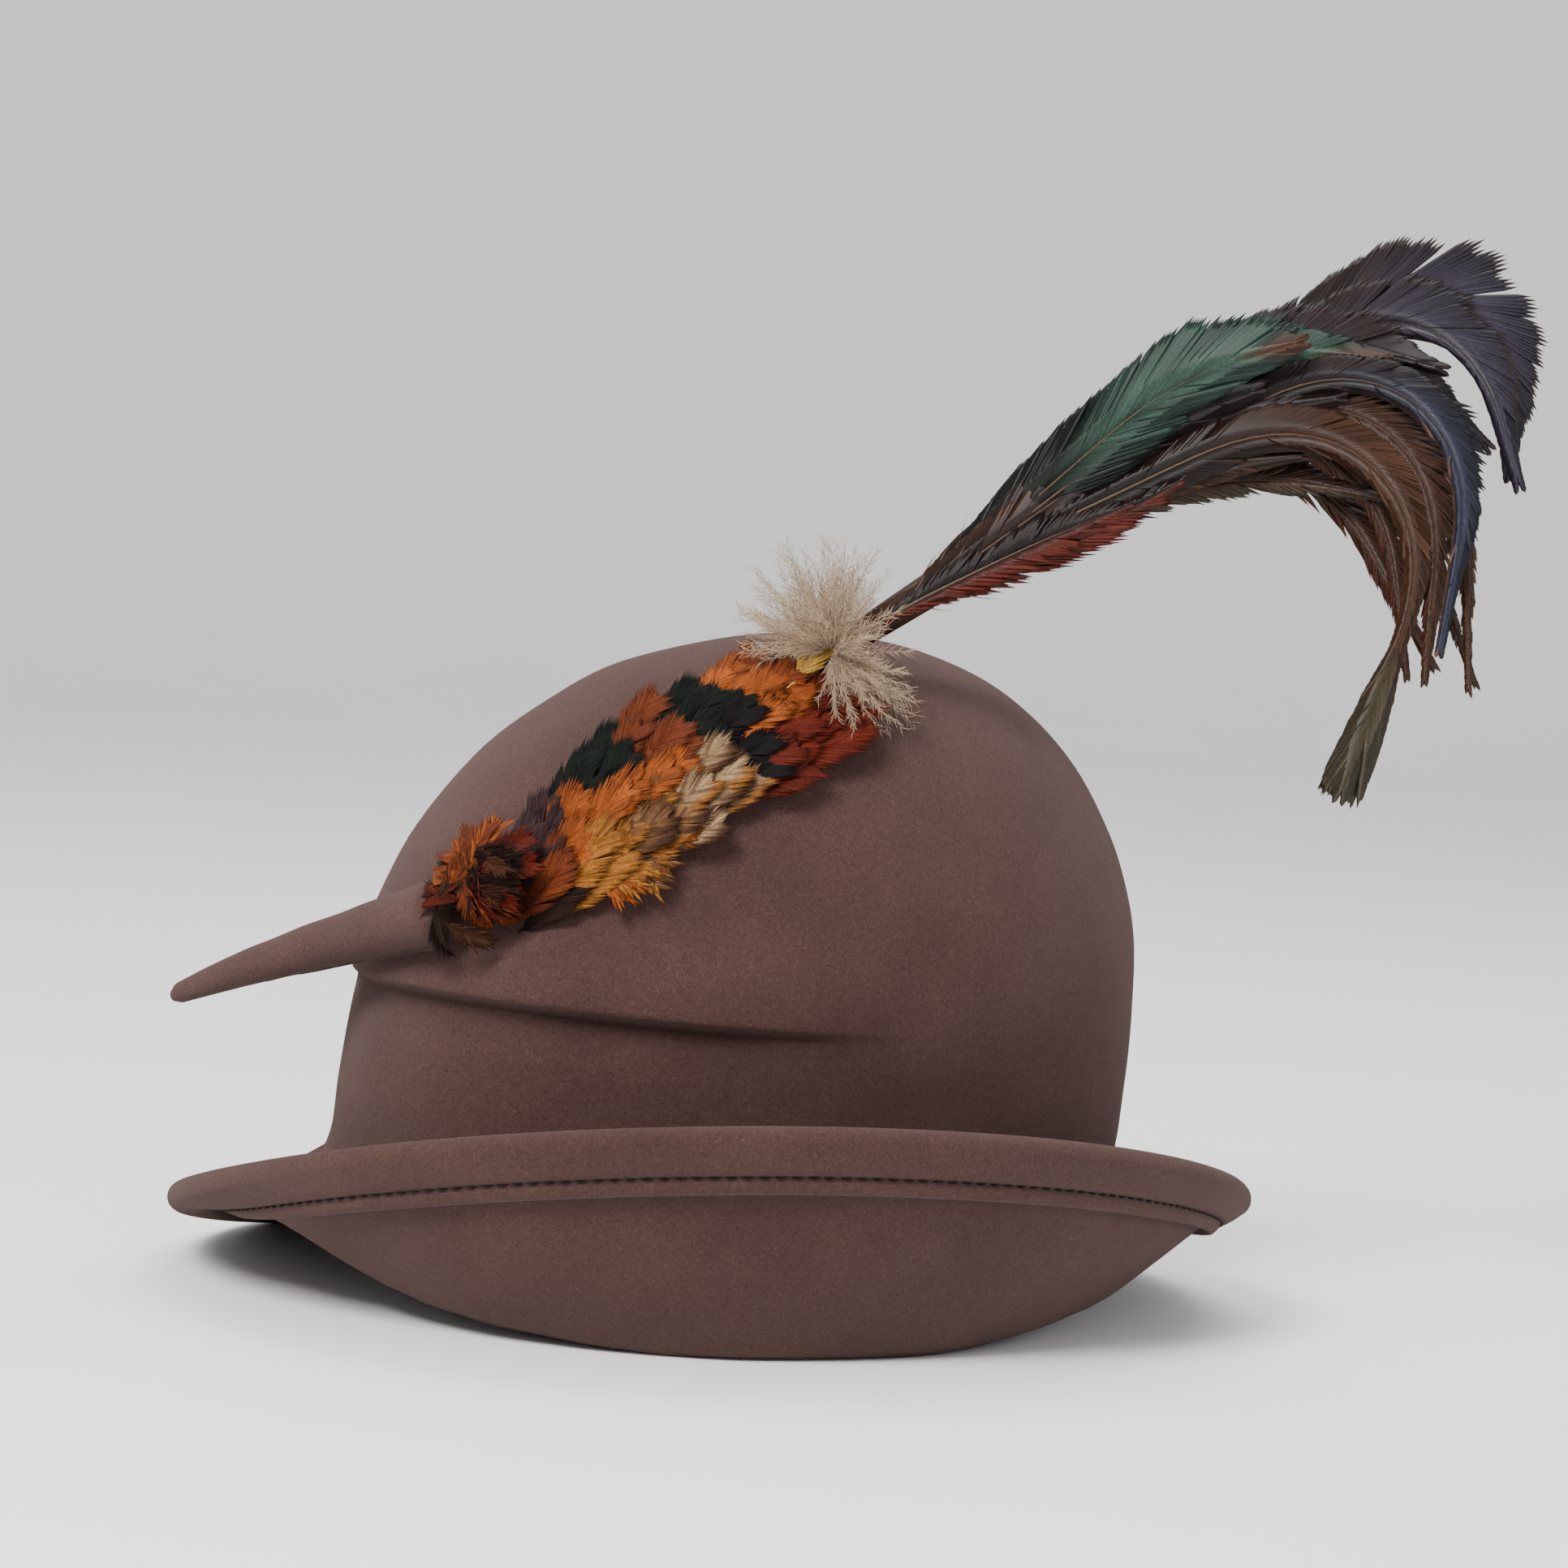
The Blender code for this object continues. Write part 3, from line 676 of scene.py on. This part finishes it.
# Tail feathers, one a row: length share, first and last heading in degrees, where the bend starts and
# ends, width share, how far it stands out at the root and at the tip, and its colouring
TAILS = ((0.97, 37, -82, 0.62, 0.96, 1.00, -0.016, -0.061, "violet"),
         (0.89, 34, -76, 0.50, 0.93, 0.84, 0.011, 0.030, "blue"),
         (0.79, 26, -58, 0.45, 0.85, 0.53, -0.003, -0.020, "brown"),
         (1.00, 29, -108, 0.38, 0.86, 0.58, 0.019, 0.091, "olive"),
         (0.57, 45, 18, 0.55, 1.00, 0.95, 0.005, 0.061, "teal"),
         (0.38, 24, 32, 0.20, 1.00, 0.50, 0.015, 0.045, "red"),
         (0.74, 40, -24, 0.58, 1.00, 0.79, -0.009, -0.035, "black"),
         (0.93, 31, -92, 0.46, 0.90, 0.55, 0.004, 0.061, "brown"),
         (0.66, 42, -2, 0.56, 1.00, 0.80, 0.000, 0.030, "teal"),
         (0.50, 41, 22, 0.50, 1.00, 0.78, 0.012, 0.048, "black"),
         (0.93, 36, -70, 0.60, 0.96, 0.80, -0.012, -0.040, "violet"),
         (0.84, 30, -80, 0.44, 0.90, 0.46, 0.010, 0.020, "brown"),
         (0.46, 30, 27, 0.30, 1.00, 0.50, 0.019, 0.040, "red"),
         (0.88, 28, -66, 0.42, 0.88, 0.42, -0.008, 0.010, "fringe"),
         (0.97, 33, -98, 0.48, 0.92, 0.48, 0.008, 0.075, "blue"),
         (0.42, 36, 33, 0.30, 1.00, 0.66, 0.008, 0.030, "black"),
         (0.34, 39, 38, 0.30, 1.00, 0.60, 0.016, 0.030, "deep"),
         (0.62, 27, -10, 0.40, 1.00, 0.44, 0.004, 0.020, "fringe"),
         (0.32, 30, 25, 0.30, 1.00, 0.55, 0.022, 0.040, "red"),
         (0.30, 44, 46, 0.30, 1.00, 0.46, 0.005, 0.015, "deep"),
         (0.72, 38, -12, 0.62, 1.00, 0.90, -0.004, 0.020, "black"),
         (0.58, 35, 12, 0.55, 1.00, 0.70, 0.006, 0.042, "black"),
         (0.80, 36, -40, 0.58, 0.98, 0.72, -0.010, -0.010, "black"),
         (0.44, 40, 40, 0.30, 1.00, 0.70, 0.002, 0.012, "black"),
         (0.52, 31, 10, 0.40, 1.00, 0.46, 0.014, 0.034, "deep"),
         (0.97, 31, -86, 0.44, 0.90, 0.40, 0.000, 0.050, "brown"))


def tail_line(row, steps, rng):
    length, first, final, bend_from, bend_to, half, root, tip = row[:8]
    spot, line = PLUME_ROOT.copy(), []
    sway, phase = rng.uniform(0.5, 1.5), rng.uniform(0, TAU)
    for k in range(steps + 1):
        share = k / steps
        shift = root + (tip - root) * share ** 1.5 + 0.006 * sway * share * math.sin(4.0 * share + phase)
        line.append(spot + OUT * (shift * TAIL))
        middle = (k + 0.5) / steps
        bend = ease((middle - bend_from) / (bend_to - bend_from))
        start = PLUME_HEADING + (first - PLUME_HEADING) * ease(middle / 0.3)
        spot = spot + sweep(start + (final - start) * bend) * (length * TAIL / steps)
    return line


def tail_tone(kind):
    """Side 1 is the inner, lower vane of an arched feather and side -1 the outer one."""
    def violet(s, u, side):
        sheen = mix(VIOLET, scaled(VIOLET, 0.35), abs(2 * u - 0.9))
        return mix(mix(BLACK, DEEP, u), sheen if u < 0.9 else BROWN, ease((s - 0.60) / 0.16))

    def blue(s, u, side):
        sheen = mix(scaled(BLUE, 1.5), BLACK, u * 0.8) if side < 0 else mix(BLUE, TAN, ease((u - 0.6) / 0.4))
        return mix(mix(BLACK, DEEP, u), sheen, ease((s - 0.56) / 0.18))

    def teal(s, u, side):
        stripe = 0.55 + 0.45 * math.sin(46.0 * s - 5.0 * u)
        sheen = mix(scaled(TEAL, 0.45), TEAL, stripe)
        body = mix(GREEN_BLACK, sheen, ease((s - 0.42) / 0.16) * (1.0 - 0.6 * ease((u - 0.75) / 0.25)))
        return mix(body, BROWN, ease((s - 0.86) / 0.10))

    def red(s, u, side):
        return mix(DEEP, RED_RUST, ease(u / 0.6)) if side > 0 else mix(BLACK, DEEP, u)

    def brown(s, u, side):
        edge = scaled(RUST, 0.8) if side > 0 else scaled(TAN, 0.5)
        return mix(mix(DEEP, scaled(BROWN, 0.8), s), edge, ease((u - 0.55) / 0.45) * ease((s - 0.25) / 0.3))

    def olive(s, u, side):
        body = mix(mix(BLACK, DEEP, u), mix(BROWN, TAN, ease((u - 0.7) / 0.5)), ease((s - 0.35) / 0.3) * 0.8)
        return mix(body, OLIVE, ease((s - 0.80) / 0.08))

    def black(s, u, side):
        return mix(BLACK, scaled(PLUM, 0.6), u)

    def deep(s, u, side):
        return mix(DEEP, BROWN, ease((u - 0.5) / 0.5))

    def fringe(s, u, side):
        return mix(scaled(BROWN, 0.7), scaled(OLIVE, 1.1), ease(u)) if side > 0 else mix(DEEP, BROWN, u)

    return {"violet": violet, "blue": blue, "teal": teal, "red": red, "brown": brown, "olive": olive,
            "black": black, "deep": deep, "fringe": fringe}[kind]


TAIL_STEPS, QUILL_COUNT, WISP_COUNT = 44, 16, 54


def build_plume(material):
    rng = random.Random(7)
    bundle = Bundle()
    face = (OUT + UP * 0.15).normalized()
    for row in TAILS:
        line = tail_line(row, TAIL_STEPS, rng)
        wide = row[5] * TAIL_HALF

        def half(s, wide=wide, spoon=row[8] == "olive"):
            width = wide * (0.26 + 0.74 * ease(s / 0.35)) * (1 - 0.82 * ease((s - 0.62) / 0.38))
            if spoon:
                blade = 0.0050 * ease((s - 0.78) / 0.09) * (1 - 0.75 * ease((s - 0.90) / 0.10))
                width = max(width * (1 - 0.5 * ease((s - 0.6) / 0.15)), blade)
            return width

        angle, fray = (33.0, 0.50) if row[8] in ("brown", "fringe", "red") else (27.0, 0.10)
        feather(bundle, line, half, face, tail_tone(row[8]), rng,
                spacing=0.00072, angle=angle, camber=0.14, fray=fray, shaft=0.00050)
    # Bound quills that the vanes grow from, and loose wisps along the bundle
    for k in range(QUILL_COUNT):
        turn = TAU * k / QUILL_COUNT
        ring = OUT * math.cos(turn) + sweep(PLUME_HEADING + 90.0) * math.sin(turn)
        start = PLUME_ROOT - sweep(PLUME_HEADING) * 0.004
        line = [start + sweep(PLUME_HEADING) * (QUILLS * t) + ring * (QUILLS_R * (0.5 + 0.4 * t))
                for t in (0.0, 0.3, 0.6, 1.0)]
        bundle.tube(line, (0.0008, 0.0009, 0.0008, 0.0003), 6, scaled(BROWN, 0.6), face)
    for k in range(WISP_COUNT):
        share = rng.uniform(0.05, 0.75)
        low = rng.random() < 0.75
        start = PLUME_ROOT + sweep(PLUME_HEADING) * (TAIL * 0.52 * share) + OUT * rng.uniform(-0.006, 0.001)
        turn = PLUME_HEADING + (-1 if low else 1) * rng.uniform(18, 60)
        size = rng.uniform(0.008, 0.017)
        line = [start + sweep(turn + 14 * t * (1 if low else -1), rng.uniform(-6, 22)) * (size * t)
                for t in (0.0, 0.35, 0.7, 1.0)]
        tint = scaled(rng.choice((TAN, CREAM, RUST, BROWN)), 0.8)
        bundle.strip(line, (0.00016, 0.00013, 0.00009), (0.00008, 0.00008, 0.00006), face, [tint] * 4)
    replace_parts(bundle.piece("arched_tail_feathers", material), "tail_plume")


# Colour patches of the pad: place along it, place across it, and the colour of the tips nearest to it
PAD_PATCHES = ((0.05, 0.0, RUST), (0.02, 0.9, DEEP), (0.15, -0.8, PLUM), (0.26, -0.1, ORANGE),
               (0.24, 0.8, OCHRE), (0.37, -0.6, GREEN_BLACK), (0.40, 0.6, TAN), (0.42, 0.1, ORANGE),
               (0.53, -0.6, RUST), (0.58, 0.7, CREAM), (0.66, -0.5, GREEN_BLACK), (0.70, 0.3, BLACK),
               (0.80, 0.7, RED_RUST), (0.82, -0.2, ORANGE), (0.95, 0.5, RED_RUST), (0.95, -0.5, RUST))


def pad_width(share):
    return PAD_HALF * (0.50 + 0.50 * ease(share / 0.3)) * (1 - 0.42 * ease((share - 0.65) / 0.35))


SHORT_STEPS = 7


def pad_line(share, across, length, turn, low, high):
    """Line of a short feather over the crown, turned from the run of the pad by an angle."""
    line = []
    place, off = share, across * pad_width(share)
    for k in range(SHORT_STEPS + 1):
        spot, way, normal = pad_frame(place)
        side = way.cross(normal).normalized()
        lift = low + (high - low) * ease(k / SHORT_STEPS)
        line.append(spot + side * off + normal * (PAD_LIFT + lift - off * off / (2 * HEAD_SIDE)))
        place += math.cos(turn) * length / (SHORT_STEPS * PAD_LENGTH)
        off += math.sin(turn) * length / SHORT_STEPS
    return line


def patch_colour(place, across):
    def away(patch):
        return ((patch[0] - place) * PAD_LENGTH) ** 2 + ((patch[1] - across) * PAD_HALF) ** 2
    return min(PAD_PATCHES, key=away)[2]


def short_tone(colour, rng):
    barred = colour in (TAN, CREAM)
    edge = rng.choice((OCHRE, BROWN)) if barred else scaled(colour, 1.35)
    base = scaled(colour, 0.30)
    lively = rng.uniform(0.70, 1.15)

    def tone(s, u, side):
        shade = scaled(mix(base, colour, ease((s + 0.5 * u) / 0.8)), lively)
        if barred and side > 0:
            shade = mix(shade, edge, ease((u - 0.35) / 0.25))
        if barred and math.sin(34.0 * s + 3.0 * u) > 0.55:
            return mix(shade, BROWN, 0.6)
        return mix(shade, edge, 0.35 * ease((u - 0.6) / 0.4))
    return tone


def short_half(size):
    return lambda s: size * (0.35 + 0.65 * ease(s / 0.28)) * (1 - 0.88 * ease((s - 0.62) / 0.38))


PAD_ROWS, PAD_COLUMNS, PAD_OVERLAP = 17, 5, 0.06
KNOT_COUNT, KNOT_STEPS, KNOT_DRIFT = 52, 6, 0.0048
TUFT_COUNT = 14


def add_pad_feathers(bundle, rng):
    """Short feathers in overlapping rows along the pad."""
    for k in range(PAD_ROWS):
        share = 0.93 * k / (PAD_ROWS - 1)
        for column in range(PAD_COLUMNS):
            across = -0.86 + 0.43 * column + (0.20 if k % 2 else -0.02) + rng.uniform(-0.08, 0.08)
            length = rng.uniform(0.015, 0.022)
            turn = rng.uniform(-0.16, 0.16) + 0.22 * across
            low = PAD_THICK * 0.45 + 0.0003 * (column % 2)
            high = low + 0.0026 + rng.uniform(0.0, 0.0010)
            line = pad_line(share - PAD_OVERLAP, across, length, turn, low, high)
            colour = patch_colour(share - PAD_OVERLAP + 0.75 * length / PAD_LENGTH, across)
            half = short_half(rng.uniform(0.0042, 0.0055))
            feather(bundle, line, half, pad_frame(share)[2], short_tone(colour, rng), rng,
                    spacing=0.00062, angle=38.0, camber=0.10, fray=0.30, shaft=0.00022,
                    shaft_tint=scaled(colour, 0.8))


def add_knot(bundle, rng):
    """Curled knot of feathers that wraps the root of the stem, darker on two of its sides."""
    root, reach = stem_ends()[1], STEM_R_ROOT + 0.0006
    way, normal = pad_frame(0.02)[1:]
    side = way.cross(normal).normalized()
    for k in range(KNOT_COUNT):
        turn = TAU * k / KNOT_COUNT + rng.uniform(-0.3, 0.3)
        out = way * math.cos(turn) + side * math.sin(turn)
        drift = way * (0.35 + math.sin(turn)) - side * math.cos(turn)
        centre = root + way * rng.uniform(-0.001, 0.013) - normal * 0.0018
        first, span = rng.uniform(-0.6, 0.6), rng.uniform(0.8, 1.4)
        line = []
        for t in range(KNOT_STEPS + 1):
            a = first + span * t / KNOT_STEPS
            line.append(centre + normal * (reach * math.cos(a)) + out * (reach * math.sin(a))
                        + out * (0.0012 * t / KNOT_STEPS) + drift * (KNOT_DRIFT * t / KNOT_STEPS))
        heading = math.degrees(turn) % 360
        shady = 150 < heading < 215 or 60 < heading < 110
        colour = DEEP if shady and k % 3 else rng.choice((RUST, RUST, ORANGE, RED_RUST, BROWN))
        face = (normal + out * 0.8).normalized()
        feather(bundle, line, short_half(0.0027), face, short_tone(colour, rng), rng,
                spacing=0.00056, angle=40.0, camber=-0.08, fray=0.6, shaft=0.00016,
                shaft_tint=scaled(colour, 0.7))


def add_edge_tufts(bundle, rng):
    """Ochre tuft that hangs off the lower side, and two yellow slivers by the down."""
    for k in range(TUFT_COUNT):
        turn = math.radians(rng.uniform(35, 100))
        line = pad_line(0.20 + 0.01 * k, 0.75, rng.uniform(0.009, 0.014), turn, 0.0028, 0.0040)
        tone = short_tone(rng.choice((OCHRE, ORANGE, TAN)), rng)
        feather(bundle, line, short_half(0.0022), pad_frame(0.25)[2], tone, rng,
                spacing=0.00065, angle=26.0, camber=0.0, fray=0.8, shaft=0.00014, shaft_tint=OCHRE)
    for across, length in ((-0.35, 0.022), (-0.10, 0.019)):
        line = pad_line(0.90, across, length, -0.12, 0.0044, 0.0068)
        feather(bundle, line, short_half(0.0026), pad_frame(0.95)[2], short_tone(YELLOW, rng), rng,
                spacing=0.0006, angle=24.0, camber=0.05, fray=0.4, shaft=0.0002, shaft_tint=YELLOW)


def build_pad(material):
    rng = random.Random(21)
    bundle = Bundle()
    add_pad_feathers(bundle, rng)
    add_knot(bundle, rng)
    add_edge_tufts(bundle, rng)
    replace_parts(bundle.piece("layered_pad_feathers", material), "feather_pad")


# Tufts of down, one a row: heading, lean outward and length share
DOWN_TUFT = 0.0235
DOWN_TUFTS = ((165, 8, 0.86), (135, 0, 1.00), (108, 10, 0.95), (82, -5, 0.90), (100, -40, 0.80),
              (-24, 40, 0.76), (-52, 32, 0.95), (-80, 38, 0.80), (120, 30, 0.80), (60, 30, 0.70),
              (20, 50, 0.60), (-60, 5, 0.85))
DOWN_STEPS, FILAMENTS, BARBULES = 7, 20, 36
FILAMENT_R, BARBULE = 0.00011, 0.0052


def build_down(material):
    """Fine bowed filaments, each with barbules on both sides."""
    rng = random.Random(5)
    bundle = Bundle()
    widths = [FILAMENT_R * (1 - 0.6 * n / DOWN_STEPS) for n in range(DOWN_STEPS)]
    heights = [0.00007] * DOWN_STEPS
    for heading, lean, share in DOWN_TUFTS:
        for k in range(FILAMENTS):
            turn, tilt = heading + rng.gauss(0, 14), lean + rng.gauss(0, 14)
            size = DOWN_TUFT * share * rng.uniform(0.62, 1.12)
            bow = rng.uniform(-26, 26)
            line = [HEART + sweep(turn, tilt) * (0.4 * DOWN_R)]
            for n in range(DOWN_STEPS):
                line.append(line[-1] + sweep(turn + bow * n / (DOWN_STEPS - 1), tilt) * (size / DOWN_STEPS))
            tint = mix(DOWN_CREAM, scaled(DOWN_CREAM, 0.62), rng.random())
            bundle.strip(line, widths, heights, OUT, [tint] * (DOWN_STEPS + 1))
            for n in range(BARBULES):
                place = (n + rng.random()) / BARBULES
                step = min(int(place * DOWN_STEPS), DOWN_STEPS - 1)
                at = line[step].lerp(line[step + 1], place * DOWN_STEPS - step)
                opened = turn + bow * place + rng.choice((-1, 1)) * rng.uniform(14, 46)
                way = sweep(opened, tilt + rng.gauss(0, 20))
                fine = BARBULE * (1 - 0.45 * place) * rng.uniform(0.6, 1.1)
                curl = sweep(rng.uniform(0, 360), rng.uniform(-60, 60)) * (0.22 * fine)
                barb = [at, at + way * (fine * 0.55), at + way * fine + curl]
                pale = scaled(tint, rng.uniform(0.85, 1.15))
                bundle.strip(barb, (0.00006, 0.00005), (0.00004, 0.00003), OUT, [pale] * 3)
    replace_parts(bundle.piece("marabou_down", material), "cream_fluff")


felt = felt_material()
build_stitches(felt, build_felt(felt))
build_stem(felt)
build_pad(feather_material("rust_feather", roughness=0.62, sheen=0.0, streak=0.30, coat=0.0, gloss=0.08))
build_down(feather_material("cream_down", roughness=0.85, sheen=0.20, streak=0.12, coat=0.0, gloss=0.20))
build_plume(feather_material("dark_feather", roughness=0.40, sheen=0.0, streak=0.30, coat=0.04, gloss=0.20))


# Stage: pale floor, soft studio light, camera a little above the floor
def area_light(name, place, aim, size, power, colour=(1, 1, 1)):
    data = bpy.data.lights.new(name, "AREA")
    data.shape = "RECTANGLE"
    data.size, data.size_y = size
    data.energy = power
    data.color = colour
    lamp = bpy.data.objects.new(name, data)
    lamp.location = place
    lamp.rotation_euler = (aim - place).to_track_quat("-Z", "Y").to_euler()
    bpy.context.scene.collection.objects.link(lamp)


FLOOR_FLAT, FLOOR_BEND, BACKDROP_TOP = 2.4, 1.2, 3.4
FLOOR_STEPS, BEND_STEPS, FLOOR_SIDES = 6, 14, 72


def build_stage():
    """Round pale floor that sweeps up far away, so no edge shows behind the hat."""
    rings = [(FLOOR_FLAT * k / FLOOR_STEPS, 0.0) for k in range(1, FLOOR_STEPS + 1)]
    for k in range(1, BEND_STEPS + 1):
        a = math.pi / 2 * k / BEND_STEPS
        rings.append((FLOOR_FLAT + FLOOR_BEND * math.sin(a), FLOOR_BEND - FLOOR_BEND * math.cos(a)))
    rings.append((FLOOR_FLAT + FLOOR_BEND, BACKDROP_TOP))
    turns = [TAU * i / FLOOR_SIDES for i in range(FLOOR_SIDES)]
    spots = [(r * math.cos(turn), r * math.sin(turn), z) for r, z in rings for turn in turns]
    spots.append((0.0, 0.0, 0.0))
    faces = []
    for i in range(FLOOR_SIDES):
        j = (i + 1) % FLOOR_SIDES
        faces.append((i, j, len(spots) - 1))
        for k in range(0, (len(rings) - 1) * FLOOR_SIDES, FLOOR_SIDES):
            faces.append((k + FLOOR_SIDES + i, k + FLOOR_SIDES + j, k + j, k + i))
    mesh = bpy.data.meshes.new("floor")
    mesh.from_pydata(spots, [], faces)
    mesh.polygons.foreach_set("use_smooth", [True] * len(mesh.polygons))
    floor = bpy.data.objects.new("floor", mesh)
    bpy.context.scene.collection.objects.link(floor)
    mesh.materials.append(stage_material())
    world = bpy.data.worlds.new("studio")
    world.use_nodes = True
    world.node_tree.nodes["Background"].inputs[0].default_value = (0.96, 0.965, 0.98, 1.0)
    world.node_tree.nodes["Background"].inputs[1].default_value = 0.90
    bpy.context.scene.world = world
    aim = Vector((0.0, 0.0, 0.10))
    area_light("key", aim + ALONG * -0.55 + OUT * 1.1 + UP * 0.95, aim, (0.55, 0.55), 40.0, (1.0, 0.98, 0.95))
    area_light("fill", aim + ALONG * 1.2 + OUT * 0.9 + UP * 0.35, aim, (1.0, 1.0), 6.0, (0.96, 0.98, 1.0))
    area_light("top", aim + ALONG * 0.2 + OUT * -0.5 + UP * 1.3, aim, (1.2, 0.8), 14.0)


def build_camera(azimuth, elevation, roll, distance, lens, aim):
    data = bpy.data.cameras.new("camera")
    data.sensor_width = 36.0
    data.lens = lens
    camera = bpy.data.objects.new("camera", data)
    a, e = math.radians(azimuth), math.radians(elevation)
    back = Vector((math.sin(a) * math.cos(e), -math.cos(a) * math.cos(e), math.sin(e)))
    camera.location = aim + back * distance
    level = (-back).to_track_quat("-Z", "Y")
    turned = level @ Matrix.Rotation(math.radians(roll), 3, "Z").to_quaternion()
    camera.rotation_euler = turned.to_euler()
    bpy.context.scene.collection.objects.link(camera)
    bpy.context.scene.camera = camera


build_stage()
build_camera(azimuth=49.0, elevation=3.5, roll=3.5, distance=1.15, lens=114.0,
             aim=HOME + ALONG * 0.012 + UP * 0.118)
